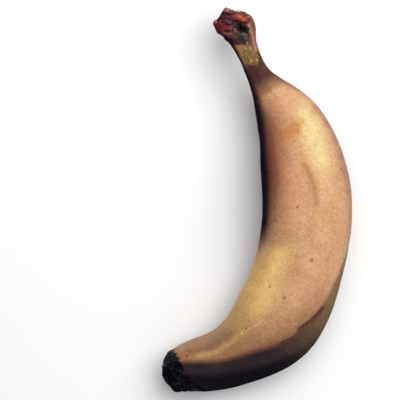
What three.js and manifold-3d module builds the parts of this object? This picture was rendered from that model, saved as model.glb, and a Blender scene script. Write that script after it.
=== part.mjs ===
// A ripe plantain: one whole fruit with the torn knob of its stalk and its dry blossom end, lying on its
// side. It grew as one piece, so it is one solid. Millimetres, +Z up. The fruit bends in the XY plane,
// with its stalk towards +Y and its outer curve towards +X, and it rests on three small flats in the
// plane z = 0.

import * as THREE from "three";
import { mergeVertices } from "three/addons/utils/BufferGeometryUtils.js";
import Module from "manifold-3d";

// The fruit's middle line and size at places along it, from the knob to the blossom end: half is half its
// width in the plane of its bend, and under and top are the heights of its underside and its top above
// the table.
const STATIONS = [
  { name: "knob", x: -12.9, y: 97.2, half: 8.9, under: 14.0, top: 33.2 },
  { name: "knob base", x: -9.7, y: 93.5, half: 8.9, under: 14.4, top: 32.8 },
  { name: "collar", x: -7.1, y: 87.5, half: 7.1, under: 16.0, top: 30.8 },
  { name: "neck", x: -3.6, y: 79.1, half: 6.0, under: 16.6, top: 28.6 },
  { name: "low neck", x: 0.6, y: 70.1, half: 6.6, under: 15.4, top: 28.8 },
  { name: "shoulder start", x: 6.3, y: 61.3, half: 9.9, under: 10.8, top: 31.0 },
  { name: "shoulder", x: 12.9, y: 51.7, half: 15.3, under: 3.6, top: 35.4 },
  { name: "upper rest", x: 20.2, y: 38.2, half: 19.9, under: -0.4, top: 41.2 },
  { name: "upper body", x: 25.2, y: 20.3, half: 23.5, under: 0.7, top: 46.2 },
  { name: "middle", x: 28.0, y: -3.2, half: 25.0, under: 0.6, top: 48.8 },
  { name: "middle rest", x: 25.5, y: -28.4, half: 24.8, under: -0.4, top: 49.2 },
  { name: "lower body", x: 19.1, y: -52.2, half: 25.1, under: 0.6, top: 48.2 },
  { name: "lower bend", x: 8.6, y: -70.6, half: 24.8, under: 0.8, top: 45.0 },
  { name: "taper", x: -6.7, y: -83.6, half: 19.6, under: 0.5, top: 38.4 },
  { name: "tip rest", x: -23.0, y: -91.1, half: 16.2, under: -0.4, top: 32.4 },
  { name: "tip", x: -35.8, y: -93.9, half: 14.3, under: 1.0, top: 29.6 },
  { name: "blossom end", x: -44.4, y: -96.0, half: 12.0, under: 2.8, top: 27.6 },
];

// Past the first and last stations the fruit closes over this length. A high shoulder keeps it wide for
// longer, and a high nose makes its very end blunter: 2 and 2 is an ellipse.
const KNOB_CAP = { length: 8.9, shoulder: 2.5, nose: 2.5 };
const BLOSSOM_CAP = { length: 9.6, shoulder: 2.6, nose: 1.1 };

// The fruit's five long ridges, and how far each crest stands out of the skin.
const RIDGES = [
  { name: "inner", crest: 0.5 },
  { name: "upper", crest: 0.3 },
  { name: "outer", crest: 0.4 },
  { name: "under outer", crest: 0.4 },
  { name: "under inner", crest: 0.4 },
];
const CREST_WIDTH = 9; // degrees either side of a ridge's line

// The shape of the section at the same stations. square says how flat its sides are: 2 would be nearly
// round, and 12 nearly flat-sided. ridges are the angles of the five ridges round the middle line in
// degrees, from straight up (0) towards the outer curve (90). Towards the blossom end they turn round the
// fruit, and two close up.
const SECTIONS = [
  { name: "knob", square: 4, ridges: [-50, 14, 86, 158, -128] },
  { name: "knob base", square: 4, ridges: [-50, 14, 86, 158, -128] },
  { name: "collar", square: 5, ridges: [-50, 14, 86, 158, -128] },
  { name: "neck", square: 6, ridges: [-50, 14, 86, 158, -128] },
  { name: "low neck", square: 6, ridges: [-50, 14, 86, 158, -128] },
  { name: "shoulder start", square: 5.5, ridges: [-50, 14, 86, 158, -128] },
  { name: "shoulder", square: 5, ridges: [-50, 14, 86, 158, -128] },
  { name: "upper rest", square: 4.6, ridges: [-52, 14, 88, 158, -128] },
  { name: "upper body", square: 4.2, ridges: [-52, 14, 90, 158, -128] },
  { name: "middle", square: 4, ridges: [-59, 14, 84, 152, -132] },
  { name: "middle rest", square: 4.1, ridges: [-80, 3, 62, 134, -146] },
  { name: "lower body", square: 4.3, ridges: [-98, -13, 43, 118, -158] },
  { name: "lower bend", square: 4.6, ridges: [-106, -24, 22, 103, -166] },
  { name: "taper", square: 5, ridges: [-110, -32, 5, 94, -172] },
  { name: "tip rest", square: 5.6, ridges: [-113, -33, -3, 90, -176] },
  { name: "tip", square: 6, ridges: [-116, -40, -14, 82, -180] },
  { name: "blossom end", square: 5, ridges: [-120, -50, -24, 72, -184] },
];

// Lumps, nubs and pits of the torn knob and the dry blossom end: where each is, how far it reaches and
// how far it stands out of the skin, or into it where it is negative.
const LUMPS = [
  { name: "knob nub", at: [-18.0, 105.6, 25.4], reach: 2.9, rise: 1.5 },
  { name: "knob notch", at: [-11.4, 107.4, 24.0], reach: 3.4, rise: -2.2 },
  { name: "knob spur", at: [-23.6, 98.2, 25.0], reach: 2.2, rise: 2.6 },
  { name: "knob jowl", at: [-22.4, 93.6, 24.0], reach: 3.0, rise: 1.5 },
  { name: "knob brow", at: [-7.8, 101.0, 31.5], reach: 3.6, rise: 2.8 },
  { name: "knob temple", at: [-3.6, 103.0, 24.6], reach: 3.6, rise: 2.2 },
  { name: "knob crown", at: [-15.0, 103.0, 32.0], reach: 3.6, rise: 1.6 },
  { name: "knob cheek", at: [-19.4, 95.8, 32.5], reach: 3.4, rise: 1.8 },
  { name: "knob lip", at: [-14.4, 95.6, 33.4], reach: 1.9, rise: 1.4 },
  { name: "knob crease, left", at: [-19.8, 99.6, 33.0], reach: 1.9, rise: -2.2 },
  { name: "knob crease, middle", at: [-15.7, 98.7, 33.4], reach: 2.0, rise: -2.6 },
  { name: "knob crease, right", at: [-11.6, 98.0, 33.2], reach: 1.9, rise: -2.4 },
  { name: "knob pit, left", at: [-8.6, 95.8, 32.0], reach: 2.7, rise: -4.6 },
  { name: "knob pit, right", at: [-5.2, 94.8, 30.0], reach: 2.6, rise: -4.4 },
  { name: "knob lip crease", at: [-15.0, 92.8, 32.6], reach: 1.9, rise: -1.4 },
  { name: "knob rim", at: [-1.4, 97.6, 25.0], reach: 4.0, rise: 0.7 },
  { name: "knob under lump", at: [-12.0, 99.0, 14.2], reach: 4.4, rise: 2.0 },
  { name: "knob under pit", at: [-17.4, 98.4, 16.0], reach: 2.8, rise: -2.6 },
  { name: "knob under crease", at: [-8.0, 94.4, 14.0], reach: 2.2, rise: -1.6 },
  { name: "knob back lump", at: [-7.0, 101.6, 19.0], reach: 3.8, rise: 1.6 },
  { name: "blossom cheek", at: [-52.0, -89.0, 15.0], reach: 4.6, rise: -2.0 },
  { name: "blossom heel", at: [-45.8, -107.4, 15.0], reach: 3.2, rise: 1.0 },
  { name: "blossom lobe top", at: [-48.0, -93.0, 26.0], reach: 3.4, rise: 1.2 },
  { name: "blossom lobe under", at: [-49.0, -100.0, 5.6], reach: 3.4, rise: 1.0 },
  { name: "blossom scar", at: [-53.0, -97.0, 13.0], reach: 3.4, rise: -2.0 },
];

// Both ends are rough all over with small lumps and pits. They lie at random, but always the same ones,
// on an egg-shaped shell of these half sizes round a place inside the end.
const ROUGH_ENDS = [
  {
    name: "knob",
    seed: 31,
    count: 90,
    at: [-13.2, 98.4, 23.6],
    half: [10.6, 8.6, 9.8],
    reach: 1.9,
    rise: 1.0,
  },
  {
    name: "blossom end",
    seed: 47,
    count: 80,
    at: [-45.6, -96.4, 15.2],
    half: [8.0, 11.4, 12.2],
    reach: 1.9,
    rise: 1.3,
  },
];
const REACH_SPREAD = 0.5; // how much their reaches differ, as a share

// The skin is not quite even: slow swells run along and round the fruit, as a share of its girth. length
// is the millimetres along the fruit for one radian of a swell, and turns is how many times it comes
// round the fruit.
const SWELLS = [
  { share: 0.012, length: 13, turns: 2, start: 0 },
  { share: 0.012, length: 21, turns: -3, start: 1 },
];

// How finely the surface is drawn.
const SIDES = 56;
const RING_STEPS = [
  { until: 2, step: 1.3 }, // knob, by station
  { until: 5, step: 2.2 }, // neck
  { until: 14, step: 4.2 }, // body
  { until: 16, step: 2.2 }, // tip
];
const CAP_RINGS = 8;
const LAST_RING = 0.02; // the share of an end's size left in the small ring whose middle is the end's point

// Returns a function of distance along the fruit that runs smoothly through the values at the stations,
// as a natural cubic spline.
function smoothThrough(places, values) {
  const last = places.length - 1;
  const bend = new Array(last + 1).fill(0);
  const carried = new Array(last + 1).fill(0);
  for (let i = 1; i < last; i++) {
    const before = places[i] - places[i - 1];
    const after = places[i + 1] - places[i];
    const pull = 6 * ((values[i + 1] - values[i]) / after - (values[i] - values[i - 1]) / before);
    const pivot = 2 * (before + after) - before * carried[i - 1];
    carried[i] = after / pivot;
    bend[i] = (pull - before * bend[i - 1]) / pivot;
  }
  for (let i = last - 1; i > 0; i--) bend[i] -= carried[i] * bend[i + 1];
  return (place) => {
    let i = 0;
    while (i < last - 1 && place > places[i + 1]) i++;
    const span = places[i + 1] - places[i];
    const b = (place - places[i]) / span;
    const a = 1 - b;
    const curve = ((a ** 3 - a) * bend[i] + (b ** 3 - b) * bend[i + 1]) * (span ** 2 / 6);
    return a * values[i] + b * values[i + 1] + curve;
  };
}

// Distance along the fruit at each station, by straight steps between them.
const PLACES = [0];
for (let i = 1; i < STATIONS.length; i++) {
  const dx = STATIONS[i].x - STATIONS[i - 1].x;
  const dy = STATIONS[i].y - STATIONS[i - 1].y;
  PLACES.push(PLACES[i - 1] + Math.hypot(dx, dy));
}
const FRUIT_LENGTH = PLACES[PLACES.length - 1];

const along = (key) => smoothThrough(PLACES, STATIONS.map((station) => station[key]));
const middleX = along("x");
const middleY = along("y");
const halfWidth = along("half");
const underside = along("under");
const topside = along("top");
const squareness = smoothThrough(PLACES, SECTIONS.map((section) => section.square));
const ridgeAngles = RIDGES.map((_, i) => {
  const angles = SECTIONS.map((section) => section.ridges[i]);
  return smoothThrough(PLACES, angles);
});

// The distance from a section's middle to its outline, before it is fitted to its width and height: a
// five-sided shape with its corners on the ridges, softened, with a low crest along each ridge.
function sectionReach(place, angle, girth) {
  const corners = ridgeAngles.map((at) => THREE.MathUtils.degToRad(at(place)));
  const power = squareness(place);
  let sum = 0;
  corners.forEach((corner, i) => {
    const next = corners[(i + 1) % corners.length];
    const span = THREE.MathUtils.euclideanModulo(next - corner, 2 * Math.PI);
    const facing = Math.cos(angle - corner - span / 2);
    if (facing > 0) sum += (facing / Math.cos(span / 2)) ** power;
  });
  let reach = sum ** (-1 / power);
  corners.forEach((corner, i) => {
    const off = THREE.MathUtils.euclideanModulo(angle - corner + Math.PI, 2 * Math.PI) - Math.PI;
    const crest = RIDGES[i].crest / girth;
    reach += crest * Math.exp(-((off / THREE.MathUtils.degToRad(CREST_WIDTH)) ** 2));
  });
  for (const swell of SWELLS) {
    reach *= 1 + swell.share * Math.sin(place / swell.length + swell.turns * angle + swell.start);
  }
  return reach;
}

// One ring of points round the fruit. past is how far the ring lies beyond the nearer end station, and
// shrink is the share of the end's size that is left there.
function ring(place, past, shrink) {
  const near = 0.01;
  const tangent = new THREE.Vector2(
    middleX(place + near) - middleX(place - near),
    middleY(place + near) - middleY(place - near),
  ).normalize();
  const outward = new THREE.Vector2(-tangent.y, tangent.x);
  const middle = new THREE.Vector2(middleX(place), middleY(place)).addScaledVector(tangent, past);
  const half = halfWidth(place);
  const low = underside(place);
  const high = topside(place);

  const outline = [];
  for (let i = 0; i < SIDES; i++) {
    const angle = (2 * Math.PI * i) / SIDES;
    const reach = sectionReach(place, angle, half);
    outline.push([reach * Math.sin(angle), reach * Math.cos(angle)]);
  }
  const fit = (axis, from, to) => {
    const values = outline.map((point) => point[axis]);
    const least = Math.min(...values);
    const scale = (to - from) / (Math.max(...values) - least);
    return (value) => from + (value - least) * scale;
  };
  const across = fit(0, -half, half);
  const upward = fit(1, low, high);
  const centreHeight = (low + high) / 2;
  const core = new THREE.Vector3(middleX(place), middleY(place), centreHeight);
  return outline.map(([u, v]) => {
    const side = across(u) * shrink;
    const height = centreHeight + (upward(v) - centreHeight) * shrink;
    const point = new THREE.Vector3(middle.x + outward.x * side, middle.y + outward.y * side, height);
    return shapeLumps(point, core);
  });
}

// Returns a function that gives the next of a fixed run of random numbers from 0 to 1.
function randomRun(seed) {
  const multiplier = 16807;
  const modulus = 2147483647;
  let state = seed;
  return () => {
    state = (state * multiplier) % modulus;
    return state / modulus;
  };
}

// The small lumps and pits of one rough end, spread evenly over its shell.
function roughLumps({ seed, count, at, half, reach, rise }) {
  const random = randomRun(seed);
  return Array.from({ length: count }, () => {
    const height = 2 * random() - 1;
    const turn = 2 * Math.PI * random();
    const round = Math.sqrt(1 - height ** 2);
    const towards = [round * Math.cos(turn), round * Math.sin(turn), height];
    return {
      at: at.map((middle, axis) => middle + half[axis] * towards[axis]),
      reach: reach * (1 + REACH_SPREAD * (random() - 0.5)),
      rise: rise * (2 * random() - 1),
    };
  });
}
const ALL_LUMPS = [...LUMPS, ...ROUGH_ENDS.flatMap(roughLumps)];

// Moves a point of the skin out or in, away from the core of the fruit, by the lumps near it.
function shapeLumps(point, core) {
  let rise = 0;
  for (const lump of ALL_LUMPS) {
    const distance = point.distanceTo(new THREE.Vector3(...lump.at));
    rise += lump.rise * Math.exp(-((distance / lump.reach) ** 2));
  }
  const away = point.clone().sub(core);
  return away.length() > 0 ? point.addScaledVector(away.normalize(), rise) : point;
}

// The rings' places along the fruit: the knob's cap, the stations' stretches and the blossom's cap.
function ringList() {
  const rings = [];
  const capRing = (place, cap, share) => {
    const shrink = (1 - share ** cap.shoulder) ** (1 / cap.nose);
    const direction = place > 0 ? 1 : -1;
    return { place, past: direction * cap.length * share, shrink };
  };
  const share = (i) => Math.sin((Math.PI / 2) * (i / CAP_RINGS));
  for (let i = CAP_RINGS - 1; i > 0; i--) rings.push(capRing(0, KNOB_CAP, share(i)));
  let from = 0;
  for (const { until, step } of RING_STEPS) {
    const span = PLACES[until] - from;
    const count = Math.round(span / step);
    for (let i = 0; i < count; i++) rings.push({ place: from + (span * i) / count, past: 0, shrink: 1 });
    from = PLACES[until];
  }
  rings.push({ place: FRUIT_LENGTH, past: 0, shrink: 1 });
  for (let i = 1; i < CAP_RINGS; i++) rings.push(capRing(FRUIT_LENGTH, BLOSSOM_CAP, share(i)));
  return rings;
}

// The closed skin: rings joined by faces, with one point at each end.
function skinGeometry() {
  const rings = ringList().map(({ place, past, shrink }) => ring(place, past, shrink));
  const mean = (points) =>
    points.reduce((sum, p) => sum.add(p), new THREE.Vector3()).divideScalar(points.length);
  const endPoint = (place, past) => mean(ring(place, past, LAST_RING));
  const knobEnd = endPoint(0, -KNOB_CAP.length);
  const blossomEnd = endPoint(FRUIT_LENGTH, BLOSSOM_CAP.length);
  const points = [knobEnd, ...rings.flat(), blossomEnd];
  const at = (row, side) => 1 + row * SIDES + (side % SIDES);
  const faces = [];
  for (let side = 0; side < SIDES; side++) {
    faces.push(0, at(0, side), at(0, side + 1));
    for (let row = 0; row + 1 < rings.length; row++) {
      faces.push(at(row, side + 1), at(row, side), at(row + 1, side));
      faces.push(at(row + 1, side + 1), at(row, side + 1), at(row + 1, side));
    }
    faces.push(at(rings.length - 1, side + 1), at(rings.length - 1, side), points.length - 1);
  }
  const geometry = new THREE.BufferGeometry().setFromPoints(points);
  geometry.setIndex(faces);
  return geometry;
}

const wasm = await Module();
wasm.setup();

// A closed geometry as a solid that can be cut.
const SAME_POINT = 1e-4;
function solidOf(geometry) {
  const bare = geometry.clone();
  bare.deleteAttribute("normal");
  bare.deleteAttribute("uv");
  const merged = mergeVertices(bare, SAME_POINT);
  const mesh = new wasm.Mesh({
    numProp: 3,
    vertProperties: new Float32Array(merged.attributes.position.array),
    triVerts: new Uint32Array(merged.index.array),
  });
  return new wasm.Manifold(mesh);
}

// A solid's faces as a geometry again.
function geometryOf(solid) {
  const mesh = solid.getMesh();
  const geometry = new THREE.BufferGeometry();
  geometry.setAttribute("position", new THREE.BufferAttribute(mesh.vertProperties, 3));
  geometry.setIndex(new THREE.BufferAttribute(mesh.triVerts, 1));
  geometry.computeVertexNormals();
  return geometry;
}

// The table under the fruit, which presses the three flats into its skin.
const TABLE_SIZE = 300;
const TABLE_DEPTH = 20;
const table = new THREE.BoxGeometry(TABLE_SIZE, TABLE_SIZE, TABLE_DEPTH).translate(0, 0, -TABLE_DEPTH / 2);

const skin = new THREE.MeshStandardMaterial({
  name: "ripe_skin",
  color: 0xc99560,
  roughness: 0.55,
  metalness: 0,
});
const plantain = new THREE.Mesh(geometryOf(solidOf(skinGeometry()).subtract(solidOf(table))), skin);
plantain.name = "plantain";

const fruit = new THREE.Group();
fruit.add(plantain);

// The frame's origin is under the middle of the fruit's box.
const box = new THREE.Box3().setFromObject(fruit);
const boxCentre = box.getCenter(new THREE.Vector3());
plantain.position.set(-boxCentre.x, -boxCentre.y, 0);

export default fruit;
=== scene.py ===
"""Dresses a ripe plantain that lies on its side, and lights it on a pale floor.

The skin is one fine mesh on the same middle line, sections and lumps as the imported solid, with the small
relief that the solid is too coarse for. Shapes are worked out in millimetres, and become metres where a mesh
is made. The stations' frame is level with the solid's, and the skin is shifted from the one to the other.
"""

import logging
import math
from dataclasses import dataclass, field
from enum import Enum
from typing import Callable, Sequence

import bpy
import numpy as np
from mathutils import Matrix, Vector, noise


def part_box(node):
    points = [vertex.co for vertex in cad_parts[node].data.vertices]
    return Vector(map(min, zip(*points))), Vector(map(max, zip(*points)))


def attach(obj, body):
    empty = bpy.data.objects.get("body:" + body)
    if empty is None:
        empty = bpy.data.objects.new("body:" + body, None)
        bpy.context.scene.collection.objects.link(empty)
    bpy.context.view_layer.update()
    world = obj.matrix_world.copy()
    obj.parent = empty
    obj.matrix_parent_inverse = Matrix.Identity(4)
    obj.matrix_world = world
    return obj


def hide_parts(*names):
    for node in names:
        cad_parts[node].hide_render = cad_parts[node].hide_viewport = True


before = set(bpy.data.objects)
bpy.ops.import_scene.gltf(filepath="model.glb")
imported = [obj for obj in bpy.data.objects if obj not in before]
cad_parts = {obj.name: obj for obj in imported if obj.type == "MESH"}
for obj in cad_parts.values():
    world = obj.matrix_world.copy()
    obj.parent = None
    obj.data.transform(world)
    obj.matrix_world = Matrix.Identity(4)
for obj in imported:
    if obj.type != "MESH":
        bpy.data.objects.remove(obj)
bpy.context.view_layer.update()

log = logging.getLogger("plantain")
Array = np.ndarray
Colour = tuple[float, float, float]
Place = tuple[float, float]
Point = tuple[float, float, float]
Line = tuple[Place, ...]
# The x and y of a spot's middle, and its reach.
Spot = tuple[float, float, float]
# A ripple's height, how many of it go round, and its start.
Ripple = tuple[float, float, float]
# Where something starts and ends, or the least and the most that it may be.
Span = tuple[float, float]
# Metres in a millimetre.
MM = 0.001


def screen(red: int, green: int, blue: int) -> Colour:
    """Turns a colour as a screen shows it, 0 to 255, into the light that a shader reckons with.

    Args:
        red, green, blue: the screen's values.

    Returns:
        The same colour, linear, 0 to 1.
    """
    full, knee, slope, offset, power = 255, 0.04045, 12.92, 0.055, 2.4
    shares = [value / full for value in (red, green, blue)]
    light = [s / slope if s <= knee else ((s + offset) / (1 + offset)) ** power for s in shares]
    return tuple(light)


def fitted(values: Array, low: Array, high: Array) -> Array:
    """Stretches each ring's values so that they run from its low to its high.

    Args:
        values: rings by sides.
        low, high: each ring's ends.

    Returns:
        The values, stretched.
    """
    least = values.min(axis=1, keepdims=True)
    most = values.max(axis=1, keepdims=True)
    return low[:, None] + (values - least) * (high - low)[:, None] / (most - least)


def with_ends(values: Array) -> Array:
    """Lists a grid's values point by point, and after them the mean of its first ring and of its last.

    Args:
        values: rings by sides, or rings by sides by 3.

    Returns:
        One value, or one row of 3, for each point.
    """
    each_point = values.reshape(-1, *values.shape[2:])
    return np.concatenate([each_point, [values[0].mean(axis=0), values[-1].mean(axis=0)]])


def make_piece(name: str, points: Array, faces: list[list[int]], marks: dict[str, Array]) -> bpy.types.Object:
    """Makes a smooth piece that carries marks at its points, and puts it in the scene.

    Args:
        name: the piece's name, and its mesh's.
        points: its points in millimetres.
        faces: each face's point numbers.
        marks: by name, a number or a row of 3 for each point.

    Returns:
        The piece, with no material yet.
    """
    mesh = bpy.data.meshes.new(name)
    mesh.from_pydata((points * MM).tolist(), [], faces)
    mesh.polygons.foreach_set("use_smooth", [True] * len(mesh.polygons))
    for mark, values in marks.items():
        kind, key = ("FLOAT", "value") if values.ndim == 1 else ("FLOAT_VECTOR", "vector")
        attribute = mesh.attributes.new(mark, kind, "POINT")
        attribute.data.foreach_set(key, values.astype(np.float32).ravel())
    piece = bpy.data.objects.new(name, mesh)
    bpy.context.scene.collection.objects.link(piece)
    return piece


def smooth_step(low: float, high: float, value: Array) -> Array:
    """Rises smoothly from 0 at low to 1 at high, or falls where low is the greater.

    Args:
        low, high: where the step starts and ends.
        value: numbers to place on the step.

    Returns:
        The step's height for each number.
    """
    share = np.clip((value - low) / (high - low), 0, 1)
    return share * share * (3 - 2 * share)


class Ridge(Enum):
    """The fruit's long ridges, in their order round it."""

    INNER = 0
    UPPER = 1
    OUTER = 2
    UNDER_OUTER = 3
    UNDER_INNER = 4


@dataclass(frozen=True)
class Station:
    """One place along the fruit: its middle, its size and the shape of its section.

    half is half its width in the plane of its bend, and under and top are heights above the floor. square
    says how flat the section's sides are. ridges are degrees round the middle line, from straight up (0)
    towards the outer curve (90), in Ridge's order.
    """

    name: str
    x: float
    y: float
    half: float
    under: float
    top: float
    square: float
    ridges: tuple[float, float, float, float, float]


STATIONS = (
    Station("knob", -12.9, 97.2, 8.9, 14.0, 33.2, 4.0, (-50, 14, 86, 158, -128)),
    Station("knob base", -9.7, 93.5, 8.9, 14.4, 32.8, 4.0, (-50, 14, 86, 158, -128)),
    Station("collar", -7.1, 87.5, 7.1, 16.0, 30.8, 5.0, (-50, 14, 86, 158, -128)),
    Station("neck", -3.6, 79.1, 6.0, 16.6, 28.6, 6.0, (-50, 14, 86, 158, -128)),
    Station("low neck", 0.6, 70.1, 6.6, 15.4, 28.8, 6.0, (-50, 14, 86, 158, -128)),
    Station("shoulder start", 6.3, 61.3, 9.9, 10.8, 31.0, 5.5, (-50, 14, 86, 158, -128)),
    Station("shoulder", 12.9, 51.7, 15.3, 3.6, 35.4, 5.0, (-50, 14, 86, 158, -128)),
    Station("upper rest", 20.2, 38.2, 19.9, -0.4, 41.2, 4.6, (-52, 14, 88, 158, -128)),
    Station("upper body", 25.2, 20.3, 23.5, 0.7, 46.2, 4.2, (-52, 14, 90, 158, -128)),
    Station("middle", 28.0, -3.2, 25.0, 0.6, 48.8, 4.0, (-59, 14, 84, 152, -132)),
    Station("middle rest", 25.5, -28.4, 24.8, -0.4, 49.2, 4.1, (-80, 3, 62, 134, -146)),
    Station("lower body", 19.1, -52.2, 25.1, 0.6, 48.2, 4.3, (-98, -13, 43, 118, -158)),
    Station("lower bend", 8.6, -70.6, 24.8, 0.8, 45.0, 4.6, (-106, -24, 22, 103, -166)),
    Station("taper", -6.7, -83.6, 19.6, 0.5, 38.4, 5.0, (-110, -32, 5, 94, -172)),
    Station("tip rest", -23.0, -91.1, 16.2, -0.4, 32.4, 5.6, (-113, -33, -3, 90, -176)),
    Station("tip", -35.8, -93.9, 14.3, 1.0, 29.6, 6.0, (-116, -40, -14, 82, -180)),
    Station("blossom end", -44.4, -96.0, 12.0, 2.8, 27.6, 5.0, (-120, -50, -24, 72, -184)),
)


@dataclass(frozen=True)
class EndCap:
    """How the fruit closes past an end station: a high shoulder keeps it wide, and a high nose blunts it."""

    length: float
    shoulder: float
    nose: float

    def shrink(self, share: float) -> float:
        """The share of the end's size that is left at a share of the cap's length."""
        return (1 - share**self.shoulder) ** (1 / self.nose)


@dataclass(frozen=True)
class Lump:
    """A lump on the skin, or a pit where its rise is negative."""

    at: Point
    reach: float
    rise: float


LUMPS = {
    "knob nub": Lump((-18.0, 105.6, 25.4), 2.9, 1.5),
    "knob notch": Lump((-11.4, 107.4, 24.0), 3.4, -2.2),
    "knob spur": Lump((-23.6, 98.2, 25.0), 2.2, 2.6),
    "knob jowl": Lump((-22.4, 93.6, 24.0), 3.0, 1.5),
    "knob brow": Lump((-7.8, 101.0, 31.5), 3.6, 2.8),
    "knob temple": Lump((-3.6, 103.0, 24.6), 3.6, 2.2),
    "knob crown": Lump((-15.0, 103.0, 32.0), 3.6, 1.6),
    "knob cheek": Lump((-19.4, 95.8, 32.5), 3.4, 1.8),
    "knob lip": Lump((-14.4, 95.6, 33.4), 1.9, 1.4),
    "knob crease, left": Lump((-19.8, 99.6, 33.0), 1.9, -2.2),
    "knob crease, middle": Lump((-15.7, 98.7, 33.4), 2.0, -2.6),
    "knob crease, right": Lump((-11.6, 98.0, 33.2), 1.9, -2.4),
    "knob pit, left": Lump((-8.6, 95.8, 32.0), 2.7, -4.6),
    "knob pit, right": Lump((-5.2, 94.8, 30.0), 2.6, -4.4),
    "knob lip crease": Lump((-15.0, 92.8, 32.6), 1.9, -1.4),
    "knob rim": Lump((-1.4, 97.6, 25.0), 4.0, 0.7),
    "knob under lump": Lump((-12.0, 99.0, 14.2), 4.4, 2.0),
    "knob under pit": Lump((-17.4, 98.4, 16.0), 2.8, -2.6),
    "knob under crease": Lump((-8.0, 94.4, 14.0), 2.2, -1.6),
    "knob back lump": Lump((-7.0, 101.6, 19.0), 3.8, 1.6),
    "blossom cheek": Lump((-52.0, -89.0, 15.0), 4.6, -2.0),
    "blossom heel": Lump((-45.8, -107.4, 15.0), 3.2, 1.0),
    "blossom lobe top": Lump((-48.0, -93.0, 26.0), 3.4, 1.2),
    "blossom lobe under": Lump((-49.0, -100.0, 5.6), 3.4, 1.0),
    "blossom scar": Lump((-53.0, -97.0, 13.0), 3.4, -2.0),
}


@dataclass(frozen=True)
class RoughShell:
    """Small lumps and pits at random, but always the same ones, on an egg-shaped shell inside an end."""

    seed: int
    count: int
    at: Point
    half: Point
    reach: float
    rise: float
    reach_spread: float = 0.5

    def lumps(self) -> list[Lump]:
        """Draws the shell's lumps from its own run of random numbers.

        Returns:
            The lumps, in the order in which they are drawn.
        """
        multiplier, modulus = 16807, 2147483647
        state = self.seed
        draws = []
        for _ in range(self.count * 4):
            state = state * multiplier % modulus
            draws.append(state / modulus)
        lumps = []
        for height_draw, turn_draw, reach_draw, rise_draw in zip(*[iter(draws)] * 4):
            height = 2 * height_draw - 1
            turn = 2 * math.pi * turn_draw
            level = math.sqrt(1 - height**2)
            towards = (level * math.cos(turn), level * math.sin(turn), height)
            at = tuple(m + h * t for m, h, t in zip(self.at, self.half, towards))
            reach = self.reach * (1 + self.reach_spread * (reach_draw - 0.5))
            lumps.append(Lump(at, reach, self.rise * (2 * rise_draw - 1)))
        return lumps


ROUGH_KNOB = RoughShell(31, 90, (-13.2, 98.4, 23.6), (10.6, 8.6, 9.8), 1.9, 1.0)
ROUGH_BLOSSOM = RoughShell(47, 80, (-45.6, -96.4, 15.2), (8.0, 11.4, 12.2), 1.9, 1.3)


class SmoothCurve:
    """A natural cubic spline through a value at each station."""

    def __init__(self, places: Array, values: Sequence[float]) -> None:
        """Works out the spline's bends.

        Args:
            places: the stations' distances along the fruit.
            values: the value at each.
        """
        self.places = places
        self.values = np.array(values, float)
        spans = np.diff(places)
        slopes = np.diff(self.values) / spans
        size = len(places)
        matrix = np.eye(size)
        pull = np.zeros(size)
        for i in range(1, size - 1):
            matrix[i, i - 1 : i + 2] = spans[i - 1], 2 * (spans[i - 1] + spans[i]), spans[i]
            pull[i] = 6 * (slopes[i] - slopes[i - 1])
        self.bends = np.linalg.solve(matrix, pull)

    def __call__(self, place: Array) -> Array:
        """Reads the spline, which runs on past its ends by its last pieces.

        Args:
            place: distances along the fruit.

        Returns:
            The value at each.
        """
        i = np.clip(np.searchsorted(self.places, place) - 1, 0, len(self.places) - 2)
        span = self.places[i + 1] - self.places[i]
        passed = (place - self.places[i]) / span
        left = 1 - passed
        bend = (left**3 - left) * self.bends[i] + (passed**3 - passed) * self.bends[i + 1]
        return left * self.values[i] + passed * self.values[i + 1] + bend * span**2 / 6


@dataclass(frozen=True)
class Wave:
    """One wave of a wavering border: how far it strays, and how fast it runs along X, Y and Z."""

    height: float
    rates: Point


@dataclass(frozen=True)
class Swell:
    """A slow swell of the body: its length along the fruit, its turns round it, and its start."""

    length: float
    turns: int
    start: float = 0.0


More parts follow.
